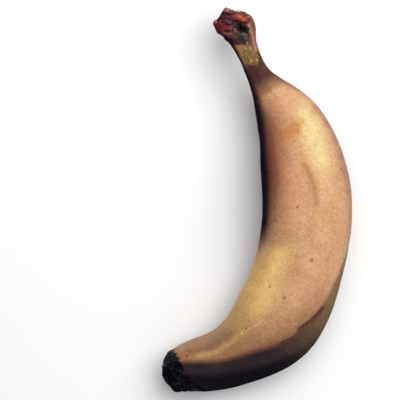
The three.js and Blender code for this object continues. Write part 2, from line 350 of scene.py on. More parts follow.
@dataclass
class SkinGrid:
    """The skin's points in rings round the fruit, and where each one is on it.

    points are rings by sides by 3. core is each ring's inner point, and place its distance from the knob's
    station, negative past it. angle is each side's degrees round the middle line, and ridges each ring's
    ridge angles. across and lift are a point's distances from the middle line, outward and up.
    """

    points: Array
    core: Array
    place: Array
    angle: Array
    ridges: Array
    across: Array
    lift: Array

    def along(self) -> Array:
        """Each point's distance along the fruit."""
        return np.broadcast_to(self.place[:, None], self.across.shape)

    def out(self) -> Array:
        """How far out each point is on its ring, from -1 on the fruit's inner side to 1 on its outer."""
        return self.across / np.maximum(np.abs(self.across).max(axis=1, keepdims=True), 1)

    def straight(self) -> Array:
        """Each point's place as if the fruit were not bent: along it, across it and up."""
        return np.stack([self.along(), self.across, self.lift], axis=2)

    def past_ridge(self, ridge: Ridge) -> Array:
        """Degrees from a ridge to each point, at most half a turn, and positive the way that angle runs."""
        off = self.angle[None, :] - self.ridges[:, ridge.value][:, None]
        return (off + 180) % 360 - 180

    def normals(self) -> Array:
        """The skin's outward direction at each point, from its neighbours in the grid.

        Returns:
            Unit vectors, rings by sides by 3.
        """
        around = np.roll(self.points, -1, axis=1) - np.roll(self.points, 1, axis=1)
        forward = np.gradient(self.points, axis=0)
        normal = np.cross(forward, around)
        least_length = 1e-9
        return normal / np.maximum(np.linalg.norm(normal, axis=2, keepdims=True), least_length)

    def push(self, rise: Array) -> None:
        """Moves each point out by its rise, and no lower than the floor."""
        self.points = self.points + self.normals() * rise[:, :, None]
        self.points[:, :, 2] = np.maximum(self.points[:, :, 2], 0)

    def near(self, at: Point | Place, reach: float) -> Array:
        """A soft spot: 1 at a place, and falling off over its reach.

        Args:
            at: a point, or a place seen from above, which then marks the upper side alone.
            reach: the spot's size in millimetres.

        Returns:
            The spot's strength at each point of the skin.
        """
        size = len(at)
        distance = np.linalg.norm(self.points[:, :, :size] - np.array(at), axis=2)
        spot = np.exp(-((distance / reach) ** 2))
        return spot if size == 3 else spot * self.upper_side()

    def upper_side(self) -> Array:
        """1 on what can be seen from above, and 0 on what cannot, with a soft border."""
        return smooth_step(-0.15, 0.1, self.normals()[:, :, 2])

    def past_line(self, line: Line) -> Array:
        """How far each point is past a line, towards +X.

        Args:
            line: the line's x at each of some places along Y, in rising order of y, as pairs of y and x.

        Returns:
            The distance, negative on the line's other side.
        """
        edge_y, edge_x = np.array(line).T
        return self.points[:, :, 0] - np.interp(self.points[:, :, 1], edge_y, edge_x)

    def waver(self, waves: Sequence[Wave]) -> Array:
        """How far a wavering border strays at each point."""
        return sum(wave.height * np.sin(self.points @ np.array(wave.rates)) for wave in waves)

    def near_line(self, line: Line, reach: float) -> Array:
        """A soft line on the upper side, as near() gives a spot.

        Args:
            line: places along it, seen from above.
            reach: half its width.

        Returns:
            The line's strength at each point of the skin.
        """
        flat = self.points[:, :, :2]
        distance = np.full(self.across.shape, np.inf)
        for start, end in zip(line[:-1], line[1:]):
            start_at = np.array(start)
            step = np.array(end) - start_at
            share = np.clip(((flat - start_at) @ step) / (step @ step), 0, 1)
            gap = flat - start_at - share[:, :, None] * step
            distance = np.minimum(distance, np.linalg.norm(gap, axis=2))
        return np.exp(-((distance / reach) ** 2)) * self.upper_side()


@dataclass
class FruitForm:
    """The whole fruit's shape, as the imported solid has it.

    crests are how far the ridges stand out, in Ridge's order, and crest_width is in degrees. ring_steps are a
    station's number and the step between the rings up to it.
    """

    stations: tuple[Station, ...] = STATIONS
    knob_cap: EndCap = EndCap(8.9, 2.5, 2.5)
    blossom_cap: EndCap = EndCap(9.6, 2.6, 1.1)
    crests: tuple[float, ...] = (0.5, 0.3, 0.4, 0.4, 0.4)
    crest_width: float = 9.0
    swell_share: float = 0.012
    swells: tuple[Swell, ...] = (Swell(13, 2), Swell(21, -3, 1))
    sides: int = 216
    cap_rings: int = 34
    ring_steps: tuple[tuple[int, float], ...] = ((2, 0.32), (5, 0.6), (14, 0.82), (16, 0.5))
    tangent_step: float = 0.01
    lumps: list[Lump] = field(init=False)
    places: Array = field(init=False)

    def __post_init__(self) -> None:
        """Gathers the lumps and works out the stations' distances along the fruit."""
        self.lumps = [*LUMPS.values(), *ROUGH_KNOB.lumps(), *ROUGH_BLOSSOM.lumps()]
        middles = np.array([(s.x, s.y) for s in self.stations])
        steps = np.linalg.norm(np.diff(middles, axis=0), axis=1)
        self.places = np.concatenate([[0], np.cumsum(steps)])

    def curve(self, values: Callable[[Station], float]) -> SmoothCurve:
        """A curve through one value of each station."""
        return SmoothCurve(self.places, [values(s) for s in self.stations])

    def rings(self) -> Array:
        """Lists the rings round the fruit, from the knob's end to the blossom's.

        Returns:
            Each ring's place, how far it lies past its end station, and the share of the size left there.
        """
        rings = []
        shares = [math.sin(math.pi / 2 * i / self.cap_rings) for i in range(1, self.cap_rings)]
        for share in reversed(shares):
            rings.append((0.0, -self.knob_cap.length * share, self.knob_cap.shrink(share)))
        start = 0.0
        for until, step in self.ring_steps:
            end = self.places[until]
            count = round((end - start) / step)
            rings += [(start + (end - start) * i / count, 0.0, 1.0) for i in range(count)]
            start = end
        rings.append((start, 0.0, 1.0))
        for share in shares:
            rings.append((start, self.blossom_cap.length * share, self.blossom_cap.shrink(share)))
        return np.array(rings)

    def section_reach(self, place: Array, angle: Array, ridges: Array, half: Array, square: Array) -> Array:
        """How far each section's outline is from its middle, before it is fitted to its size.

        Args:
            place: each ring's distance along the fruit.
            angle: each side's angle, in radians.
            ridges: each ring's ridge angles, in radians.
            half: each ring's half width.
            square: how flat each ring's sides are.

        Returns:
            The reach, rings by sides.
        """
        power = square[:, None]
        total = 0
        for ridge in Ridge:
            corner = ridges[:, ridge.value][:, None]
            following = ridges[:, (ridge.value + 1) % len(Ridge)][:, None]
            span = (following - corner) % (2 * math.pi)
            facing = np.maximum(np.cos(angle - corner - span / 2), 0)
            total = total + (facing / np.cos(span / 2)) ** power
        reach = total ** (-1 / power)
        width = math.radians(self.crest_width)
        for ridge, crest in zip(Ridge, self.crests):
            off = (angle - ridges[:, ridge.value][:, None] + math.pi) % (2 * math.pi) - math.pi
            reach = reach + crest / half[:, None] * np.exp(-((off / width) ** 2))
        for swell in self.swells:
            wave = np.sin(place[:, None] / swell.length + swell.turns * angle + swell.start)
            reach = reach * (1 + self.swell_share * wave)
        return reach

    def skin(self) -> SkinGrid:
        """Lays the skin's rings round the middle line, with the lumps of both ends.

        Returns:
            The skin's points, in the stations' frame.
        """
        place, past, shrink = self.rings().T
        middle = [self.curve(lambda s: s.x), self.curve(lambda s: s.y)]
        near = self.tangent_step
        tangent = np.stack([axis(place + near) - axis(place - near) for axis in middle], axis=1)
        tangent /= np.linalg.norm(tangent, axis=1, keepdims=True)
        outward = np.stack([-tangent[:, 1], tangent[:, 0]], axis=1)
        line = np.stack([axis(place) for axis in middle], axis=1)
        centre = line + tangent * past[:, None]
        half = self.curve(lambda s: s.half)(place)
        under = self.curve(lambda s: s.under)(place)
        top = self.curve(lambda s: s.top)(place)
        square = self.curve(lambda s: s.square)(place)
        ridges = np.stack([self.curve(lambda s: s.ridges[r.value])(place) for r in Ridge], axis=1)

        degrees = np.arange(self.sides) * 360 / self.sides
        angle = np.radians(degrees)[None, :]
        reach = self.section_reach(place, angle, np.radians(ridges), half, square)
        mid_height = (under + top) / 2
        across = fitted(reach * np.sin(angle), -half, half) * shrink[:, None]
        lift = (fitted(reach * np.cos(angle), under, top) - mid_height[:, None]) * shrink[:, None]
        flat = centre[:, None, :] + across[:, :, None] * outward[:, None, :]
        points = np.concatenate([flat, (mid_height[:, None] + lift)[:, :, None]], axis=2)
        core = np.concatenate([line, mid_height[:, None]], axis=1)
        grid = SkinGrid(points, core, place + past, degrees, ridges, across, lift)
        self.shape_lumps(grid)
        return grid

    def shape_lumps(self, grid: SkinGrid) -> None:
        """Moves the skin away from its core by the lumps near each point, and cuts it flat at the floor.

        Args:
            grid: the skin, which is changed.
        """
        rise = np.zeros(grid.across.shape)
        for lump in self.lumps:
            distance = np.linalg.norm(grid.points - np.array(lump.at), axis=2)
            rise += lump.rise * np.exp(-((distance / lump.reach) ** 2))
        away = grid.points - grid.core[:, None, :]
        away /= np.linalg.norm(away, axis=2, keepdims=True)
        grid.points = grid.points + away * rise[:, :, None]
        grid.points[:, :, 2] = np.maximum(grid.points[:, :, 2], 0)


class Measure(Enum):
    """What says where a mark fades, at each point of the skin."""

    X = "millimetres along X"
    Y = "millimetres along Y"
    RAISED_Y = "millimetres along Y, and some more near the floor"
    ALONG = "millimetres along the fruit"
    OUT = "from -1 on the fruit's inner side to 1 on its outer"
    OFF_MIDDLE = "from 0 in the middle to 1 on either side"
    FACING_UP = "from -1 facing down to 1 facing up"
    PAST_INNER_RIDGE = "degrees past the inner ridge"
    PAST_OUTER_RIDGE = "degrees past the outer ridge"
    PAST_INNER_FACE = "millimetres past the border of the dark inner face"
    PAST_STRIP = "millimetres past the border of the strip under the crease"


Measures = dict[Measure, Array]


class Cover(Enum):
    """The part of the skin that a mark is kept to."""

    ALL = "all of it"
    UPPER_SIDE = "what can be seen from above"
    LOWER_FACE = "the face under the outer ridge"


@dataclass(frozen=True)
class Fade:
    """A soft border of a mark: the mark is gone where the measure is bare, and whole where it is full.

    A slant adds so many times a second measure to the first, and so tilts the border.
    """

    measure: Measure
    bare: float
    full: float
    slant: float = 0.0
    slant_by: Measure = Measure.OUT

    def strength(self, measures: Measures) -> Array:
        """How much of the mark this border leaves at each point."""
        value = measures[self.measure] + self.slant * measures[self.slant_by]
        return smooth_step(self.bare, self.full, value)


def within(fades: Sequence[Fade], measures: Measures) -> Array:
    """What all these borders together leave of a mark at each point."""
    return np.prod([fade.strength(measures) for fade in fades], axis=0)


@dataclass(frozen=True)
class FadeMark:
    """A mark that all its fades bound."""

    name: str
    fades: tuple[Fade, ...]
    cover: Cover = Cover.ALL

    def strength(self, measures: Measures) -> Array:
        """The mark's strength at each point, before it is kept to its cover."""
        return within(self.fades, measures)


@dataclass(frozen=True)
class SpotMark:
    """A mark on the upper side made of soft spots.

    Where cut is given, the mark is 0 below its first number and 1 above its second. density is how much of a
    mark one spot makes by itself.
    """

    name: str
    spots: tuple[Spot, ...]
    cut: Span | None = None
    density: float = 0.8

    def strength(self, grid: SkinGrid) -> Array:
        """Joins the spots.

        Args:
            grid: the skin.

        Returns:
            The mark's strength at each point.
        """
        clear = np.ones(grid.across.shape)
        for x, y, reach in self.spots:
            clear *= 1 - self.density * grid.near((x, y), reach)
        return smooth_step(*self.cut, 1 - clear) if self.cut else 1 - clear


@dataclass(frozen=True)
class LineMark:
    """A mark on the upper side made of soft lines of one reach."""

    name: str
    reach: float
    lines: tuple[Line, ...]

    def strength(self, grid: SkinGrid) -> Array:
        """Joins the lines into the mark's strength at each point."""
        return np.max([grid.near_line(line, self.reach) for line in self.lines], axis=0)


NECK = (Fade(Measure.ALONG, 49.5, 37), Fade(Measure.ALONG, -2, 3))
STREAK: Line = ((25.6, 19), (28.2, 14), (30.2, 8.6), (31.4, 3.4), (32.2, -2))

FADE_MARKS = (
    FadeMark("neck", NECK),
    FadeMark("neck_dark", (Fade(Measure.ALONG, 18, 24, 3.5), Fade(Measure.ALONG, 44, 33))),
    FadeMark("neck_shade", (*NECK, Fade(Measure.OUT, -0.64, -1.02))),
    FadeMark("neck_light", (Fade(Measure.OUT, 0.35, 0.75), Fade(Measure.ALONG, 21, 13)), Cover.UPPER_SIDE),
    FadeMark("neck_edge", (Fade(Measure.OUT, 0.7, 0.98), Fade(Measure.ALONG, 60, 44))),
    FadeMark("collar_dark", (Fade(Measure.ALONG, 16.4, 10.4, -2.5), Fade(Measure.OUT, 0.8, 0.5))),
    FadeMark("rim", (Fade(Measure.X, -5, -3), Fade(Measure.Y, 81, 88))),
    FadeMark(
        "outer", (Fade(Measure.OUT, 0.2, 0.62), Fade(Measure.ALONG, 40, 60), Fade(Measure.ALONG, 180, 140))
    ),
    # Darker towards the blossom end: partly riper skin, partly painted shade where the light falls off.
    FadeMark("dusk", (Fade(Measure.Y, -46, -88, 0.25, Measure.X),)),
    # Dark ripe skin with painted shade: the inner side, turned from the key light, near black, and reaching
    # further down the fruit near the floor.
    FadeMark(
        "inner_dark_skin_and_shade",
        (
            Fade(Measure.PAST_INNER_FACE, 2.8, -1.6),
            Fade(Measure.OUT, 0.35, -0.1),
            Fade(Measure.PAST_INNER_RIDGE, -150, -30),
            Fade(Measure.RAISED_Y, -36, -12),
        ),
    ),
    # Painted shade: the skin turns darker where it faces down.
    FadeMark("underside", (Fade(Measure.FACING_UP, 0.1, -0.7),)),
    # The lower face under the outer ridge, turned from the light: dark ripe skin with painted shade.
    FadeMark("strip", (Fade(Measure.ALONG, 95, 150),), Cover.LOWER_FACE),
    FadeMark("strip_shade", (Fade(Measure.PAST_STRIP, -18, -1), Fade(Measure.Y, -36, -64)), Cover.UPPER_SIDE),
    # Dark skin with painted shade, darker towards the blossom end.
    FadeMark("lower_dark_skin_and_shade", (Fade(Measure.ALONG, 152, 194),), Cover.LOWER_FACE),
    # Near black skin with painted shade, low on the lower face towards the blossom end.
    FadeMark(
        "lower_black_skin_and_shade",
        (Fade(Measure.ALONG, 160, 200), Fade(Measure.PAST_OUTER_RIDGE, 24, 56)),
        Cover.LOWER_FACE,
    ),
    # Red-brown skin beside the dark inner side, with painted shade deepening it towards that side.
    FadeMark(
        "red_brown",
        (Fade(Measure.PAST_INNER_FACE, 18, 0), Fade(Measure.Y, -36, 16), Fade(Measure.Y, 66, 34)),
        Cover.UPPER_SIDE,
    ),
    # Dark skin and painted shade at the soft border of the inner side.
    FadeMark(
        "umber",
        (Fade(Measure.PAST_INNER_FACE, 7.5, 0), Fade(Measure.Y, -36, -14), Fade(Measure.Y, 64, 44)),
        Cover.UPPER_SIDE,
    ),
)

SPOT_MARKS = (
    # Painted shade: near black in the knob's deep pit.
    SpotMark("pit", ((-10.2, 94.9, 1.6), (-8.4, 94.5, 2), (-6.6, 93.9, 2), (-5.4, 94.4, 1.4)), (0.2, 0.6)),
    SpotMark("ember", ((-9.4, 101, 2), (-7.4, 99.6, 2), (-11.4, 101.8, 1.6), (-6, 98.8, 1.3))),
    SpotMark("glow", ((-9.4, 101.2, 1.3), (-7.6, 99.6, 1.1))),
    SpotMark("cheek", ((-19.4, 95.2, 3.2), (-16.4, 94, 2))),
    SpotMark("crown", ((-16.2, 100.6, 3.2), (-12.6, 99.6, 2))),
    SpotMark("temple", ((-3.4, 101, 2.6), (-2.4, 98, 1.6))),
    # Painted pink and tan highlights on the knob's wet flesh.
    SpotMark("knob_glint", ((-14.7, 94.1, 0.9), (-16.4, 104.9, 1), (-4.4, 102, 0.8), (-22.8, 98.6, 0.7))),
    SpotMark("nub", ((-18.4, 105.2, 1.6), (-16.6, 105.8, 1.2))),
    SpotMark("bruise", ((-12.4, 90, 2), (-15, 90.6, 1.6), (-6, 89.4, 1.4))),
    SpotMark("blot", ((-8.9, 89, 1.5), (-14, 88.7, 1.5), (-4.8, 90.6, 0.9))),
    SpotMark("sheen", ((-6.6, 91.5, 0.9), (-7.8, 92.2, 0.7))),
    # Pale yellow skin with a painted highlight where the body faces the key light.
    SpotMark("yellow_and_highlight", ((26.5, 47, 4.8), (30, 41, 5.7), (31.5, 34.5, 5.7), (33.4, 28, 5.2), (35.6, 21, 5.2))),
    SpotMark("sand", ((27, 33, 5), (37, 12, 5), (38, 2, 5), (25, 55, 5), (28, 20, 5))),
    SpotMark("gold", ((12.6, -31, 5.6), (8.6, -38, 6.5), (4, -45.4, 7), (0.4, -52.6, 7), (-2, -60, 7))),
    SpotMark("peach", ((16, 15, 4.5), (15.4, 7, 5.5), (15, -2, 6), (18, -11, 6), (13, 52, 4))),
    SpotMark(
        "pink",
        (
            (11, 54, 5), (16, 50, 4.5), (20, 22, 5), (24, 10, 6), (24, -2, 6), (33, -30, 9), (33, -44, 10),
            (24, -50, 8),
        ),
    ),
    SpotMark(
        "flush",
        ((44, 33, 3.4), (47.4, 24, 4.2), (50, 14, 4.2), (51.6, 4, 3.6), (39.6, 42, 3), (33.6, 50, 3)),
    ),
    SpotMark("blush", ((10, 28, 4.5), (10.6, 20, 5), (11.4, 11, 5.5), (11.8, 2, 5.5), (11.6, -7, 4.5))),
    SpotMark("olive", ((2, -36, 4.5), (-1, -45, 5.5), (-5, -54, 6), (-9.6, -61, 6), (-12.4, -68, 5.5))),
    # Painted shade in the valley near the tip, which turns away from the light.
    SpotMark(
        "dusky",
        (
            (-14, -73.6, 3), (-17.6, -76, 3.6), (-21.8, -79.6, 3.8), (-26.9, -82.2, 3.4), (-32.5, -83.6, 3),
            (-37.5, -84.4, 2.4),
        ),
    ),
    SpotMark(
        "stain",
        (
            (22.8, 41.8, 2.6), (19.6, 39, 3.2), (25, 42.6, 1), (16.6, 35.4, 3.4), (22, 36.6, 1.6),
            (21.4, 38.4, 2),
        ),
    ),
    SpotMark(
        "dot",
        (
            (46.5, 16.7, 0.8), (29.3, -33.2, 0.9), (21.8, -4.3, 0.7), (6.7, -48, 0.6), (14.4, -54, 0.9),
            (-6.3, -71.2, 0.5), (-39.2, -87.2, 0.9), (28.3, -72.9, 0.6), (12.9, -81.9, 0.7),
        ),
        (0.1, 0.55),
    ),
    SpotMark(
        "blister",
        (
            (-6.2, 83.8, 0.4), (-3.7, 83.6, 0.4), (-5.5, 86.6, 0.42), (-3.2, 77, 0.5), (-0.1, 77.3, 0.45),
            (-5.9, 80.6, 0.3), (-4.2, 78.8, 0.22), (-3.4, 85.4, 0.25), (-4, 75.8, 0.28), (-4.8, 82.2, 0.2),
        ),
    ),
)

LINE_MARKS = (
    LineMark("stub_rim", 2.2, (((-49.6, -83.6), (-46.4, -85.6), (-43, -88.6)),)),
    LineMark("lip", 0.7, (((-18.6, 92.2), (-15.8, 91.6), (-13.6, 92.2), (-12, 93.6)),)),
    LineMark("rim_light", 0.8, (((-4.6, 97), (-3.5, 94.4), (-2.5, 92), (-1.6, 87), (-0.6, 82.6)),)),
    LineMark("streak", 1.5, (STREAK,)),
    LineMark("streak_haze", 3.2, (((22.6, 29), *STREAK, (32.4, -12)),)),
    # Pale, scratched skin along a ridge near the tip, with a painted highlight where it catches the light.
    LineMark(
        "pale_ridge",
        1.5,
        (((-6, -72.8), (-10.1, -74.9), (-16.2, -79.9), (-24.1, -85), (-31.9, -86.7)),),
    ),
    # A dark purple crease, with painted shade in its groove.
    LineMark(
        "crease",
        1.15,
        (((35.6, -60), (33.2, -63.3), (31.6, -64.6), (29.4, -66.8), (26.2, -68.5), (22.5, -71.2)),),
    ),
    # Painted shade in the knob's cracks and creases.
    LineMark(
        "rift",
        0.6,
        (
            ((-19.7, 98.4), (-16.7, 97), (-12.7, 97.3), (-11.8, 96.5), (-8.9, 96.8), (-4.8, 97.7)),
            ((-19.2, 103.6), (-17.4, 102.6), (-15.3, 102.2)),
            ((-17.8, 92.6), (-15.6, 93.2), (-13.6, 93.4)),
            ((-5, 103.6), (-4.4, 100.4), (-4.6, 98)),
        ),
    ),
    LineMark(
        "scratch",
        0.45,
        (
            ((-5.6, -71.8), (-3.4, -70.6)),
            ((-2.4, -70.4), (-0.6, -69.2)),
            ((-9.4, -74.2), (-8.4, -73.4)),
            ((0.2, -68.4), (2, -66.6)),
        ),
    ),
)


@dataclass
class SkinMarks:
    """Where the skin changes: its dark faces, which carry painted shade, its tints and painted highlights,
    its scars and the torn and dry ends.

    Places are seen from above, in millimetres. lip_line, where the skin ends at the torn knob, is pairs of x
    and y. The stub's line, the inner face's and the strip's are pairs of y and x. The scar's size is half its
    length along the neck and half its width, and its lobes are the ripples of its edge.
    """

    lip_line: Line = (
        (-24, 89), (-18.5, 90.8), (-12.9, 92.4), (-9, 92.8), (-5.8, 93.4), (-4.4, 98.6), (-3, 104.4),
        (-1.6, 108),
    )
    stub_line: Line = ((-110, -26), (-103.5, -32), (-101.2, -36.8), (-96.7, -40.8), (-90, -42), (-84, -46.6))
    inner_line: Line = (
        (-46, -12), (-36, 0), (-25.6, 3.2), (-14, 5.2), (-0.4, 5.9), (8, 5.8), (19.2, 5.2), (30.4, 4.4),
        (44.4, 3.2), (55.6, 1.4), (66.8, -4), (80, -10.2), (92, -17),
    )
    strip_line: Line = (
        (-78.5, 12.1), (-75.6, 18.1), (-71.3, 22.5), (-66.4, 28), (-59.7, 34.1), (-53.6, 38.4), (-43.8, 43.3),
        (-32.2, 48.2), (-23, 51), (-10, 55),
    )
    fades: tuple[FadeMark, ...] = FADE_MARKS
    spots: tuple[SpotMark, ...] = SPOT_MARKS
    lines: tuple[LineMark, ...] = LINE_MARKS
    lip_waves: tuple[Wave, ...] = (Wave(0.5, (1.3, 0, 0)), Wave(0.3, (3.1, 0, 1)))
    lip_blur: float = 0.6
    stub_waves: tuple[Wave, ...] = (Wave(0.8, (0, 0.7, 0.4)), Wave(0.5, (0, 1.9, -0.7)))
    stub_blur: float = 1.6
    raised_by: float = 30.0
    raised_heights: Span = (26, 6)
    under_ridge: tuple[Fade, ...] = (
        Fade(Measure.PAST_OUTER_RIDGE, -3, 8), Fade(Measure.PAST_OUTER_RIDGE, 170, 120),
    )
    past_crease: Fade = Fade(Measure.PAST_STRIP, -1.1, 1.2)
    # Where the painted shade along the outline lies: off the middle, and along the fruit.
    outline: tuple[Fade, ...] = (Fade(Measure.OFF_MIDDLE, 0.78, 0.99), Fade(Measure.ALONG, 46, 70))
    lower_inner: tuple[Fade, ...] = (Fade(Measure.OUT, 0, -0.5), Fade(Measure.ALONG, 110, 150))
    lower_outer: tuple[Fade, ...] = (Fade(Measure.OUT, 0, 0.5), Fade(Measure.ALONG, 110, 140))
    lower_outer_loss: float = 0.7
    seam_start: Fade = Fade(Measure.ALONG, 150, 190)
    seam_turn: float = 1.0
    seam_width: float = 5.0
    lower_light_at: Point = (-30, -97.5, 16)
    lower_light_reach: float = 9.0
    scar_at: Place = (-3.4, 80)
    scar_lean: float = 22.0
    scar_size: Span = (6.0, 4.1)
    scar_lobes: tuple[Ripple, ...] = ((0.06, 3, 0), (0.04, 7, 1))
    scar_blur: float = 0.12
    freckle_seed: int = 5
    freckle_count: int = 110
    freckle_reaches: Span = (0.3, 0.65)
    freckle_strengths: Span = (0.2, 0.7)
    lower_freckles: float = 0.4

    def measures(self, grid: SkinGrid) -> Measures:
        """Measures the skin in every way that a fade may need.

        Args:
            grid: the skin.

        Returns:
            Each measure at each point.
        """
        x, y, height = (grid.points[:, :, axis] for axis in range(3))
        return {
            Measure.X: x,
            Measure.Y: y,
            Measure.RAISED_Y: y + self.raised_by * smooth_step(*self.raised_heights, height),
            Measure.ALONG: grid.along(),
            Measure.OUT: grid.out(),
            Measure.OFF_MIDDLE: np.abs(grid.out()),
            Measure.FACING_UP: grid.normals()[:, :, 2],
            Measure.PAST_INNER_RIDGE: grid.past_ridge(Ridge.INNER),
            Measure.PAST_OUTER_RIDGE: grid.past_ridge(Ridge.OUTER),
            Measure.PAST_INNER_FACE: grid.past_line(self.inner_line),
            Measure.PAST_STRIP: grid.past_line(self.strip_line),
        }

    def torn(self, grid: SkinGrid) -> Array:
        """The knob's torn flesh, above the lip where the skin ends.

        Args:
            grid: the skin.

        Returns:
            1 on the flesh and 0 on the skin, with a wavering border.
        """
        lip_x, lip_y = np.array(self.lip_line).T
        lip = np.interp(grid.points[:, :, 0], lip_x, lip_y)
        above = grid.points[:, :, 1] + grid.waver(self.lip_waves) - lip
        return smooth_step(-self.lip_blur, self.lip_blur, above)

    def stub(self, grid: SkinGrid) -> Array:
        """The blossom end's dry black stub.

        Args:
            grid: the skin.

        Returns:
            1 on the stub and 0 on the skin, with a wavering border.
        """
        past = grid.past_line(self.stub_line) - grid.waver(self.stub_waves)
        return smooth_step(self.stub_blur, -self.stub_blur, past)

    def scar(self, grid: SkinGrid) -> Array:
        """The khaki scar on the neck, an oval along it with an uneven edge.

        Args:
            grid: the skin.

        Returns:
            The scar's strength at each point.
        """
        lean = math.radians(self.scar_lean)
        off = grid.points[:, :, :2] - np.array(self.scar_at)
        along = (-off[:, :, 0] * math.sin(lean) + off[:, :, 1] * math.cos(lean)) / self.scar_size[0]
        across = (off[:, :, 0] * math.cos(lean) + off[:, :, 1] * math.sin(lean)) / self.scar_size[1]
        turn = np.arctan2(across, along)
        edge = 1 + sum(height * np.sin(count * turn + start) for height, count, start in self.scar_lobes)
        off_middle = np.hypot(along, across) / edge
        return smooth_step(1 + self.scar_blur, 1 - self.scar_blur, off_middle) * grid.upper_side()

    def lower_face(self, measures: Measures, upper_side: Array) -> Array:
        """The face under the outer ridge, which starts above the ridge near the crease.

        Args:
            measures: the skin's measures.
            upper_side: 1 where the skin can be seen from above.

        Returns:
            1 on the face and 0 off it, with a soft border.
        """
        past_crease = self.past_crease.strength(measures) * upper_side
        return np.maximum(within(self.under_ridge, measures), past_crease)

    def edge(self, measures: Measures) -> Array:
        """Painted shade along the body's outline, left out of the inner side's lower half and weaker on the
        outer side's.

        Args:
            measures: the skin's measures.

        Returns:
            The outline's strength at each point.
        """
        kept_inner = 1 - within(self.lower_inner, measures)
        kept_outer = 1 - self.lower_outer_loss * within(self.lower_outer, measures)
        return within(self.outline, measures) * kept_inner * kept_outer

    def seam(self, measures: Measures) -> Array:
        """The dark line along the outer ridge towards the blossom end."""
        off = (measures[Measure.PAST_OUTER_RIDGE] - self.seam_turn) / self.seam_width
        return np.exp(-(off**2)) * self.seam_start.strength(measures)

    def freckles(self, grid: SkinGrid) -> Array:
        """Small brown dots scattered all over the fruit.

        Args:
            grid: the skin.

        Returns:
            The dots' strength at each point.
        """
        random = np.random.default_rng(self.freckle_seed)
        mark = np.zeros(grid.across.shape)
        rings, sides = mark.shape
        for _ in range(self.freckle_count):
            ring = random.integers(rings // 4, rings * 9 // 10)
            side = random.integers(sides)
            reach = random.uniform(*self.freckle_reaches)
            strength = random.uniform(*self.freckle_strengths)
            mark = np.maximum(mark, strength * grid.near(tuple(grid.points[ring, side]), reach))
        return mark

    def all_marks(self, grid: SkinGrid) -> dict[str, Array]:
        """Works out every mark.

        Args:
            grid: the skin.

        Returns:
            Each mark's strength at each point, by name.
        """
        measures = self.measures(grid)
        upper_side = grid.upper_side()
        lower_face = self.lower_face(measures, upper_side)
        covers = {Cover.ALL: 1, Cover.UPPER_SIDE: upper_side, Cover.LOWER_FACE: lower_face}
        marks = {
            "torn": self.torn(grid),
            "stub": self.stub(grid),
            "scar": self.scar(grid),
            # Painted shade along the body's outline.
            "edge": self.edge(measures),
            "seam": self.seam(measures),
            "lower_light": grid.near(self.lower_light_at, self.lower_light_reach),
        }
        marks |= {mark.name: mark.strength(measures) * covers[mark.cover] for mark in self.fades}
        marks |= {mark.name: mark.strength(grid) for mark in (*self.spots, *self.lines)}
        dots = np.maximum(marks["dot"], self.freckles(grid))
        marks["dot"] = dots * (1 + (self.lower_freckles - 1) * lower_face)
        return marks


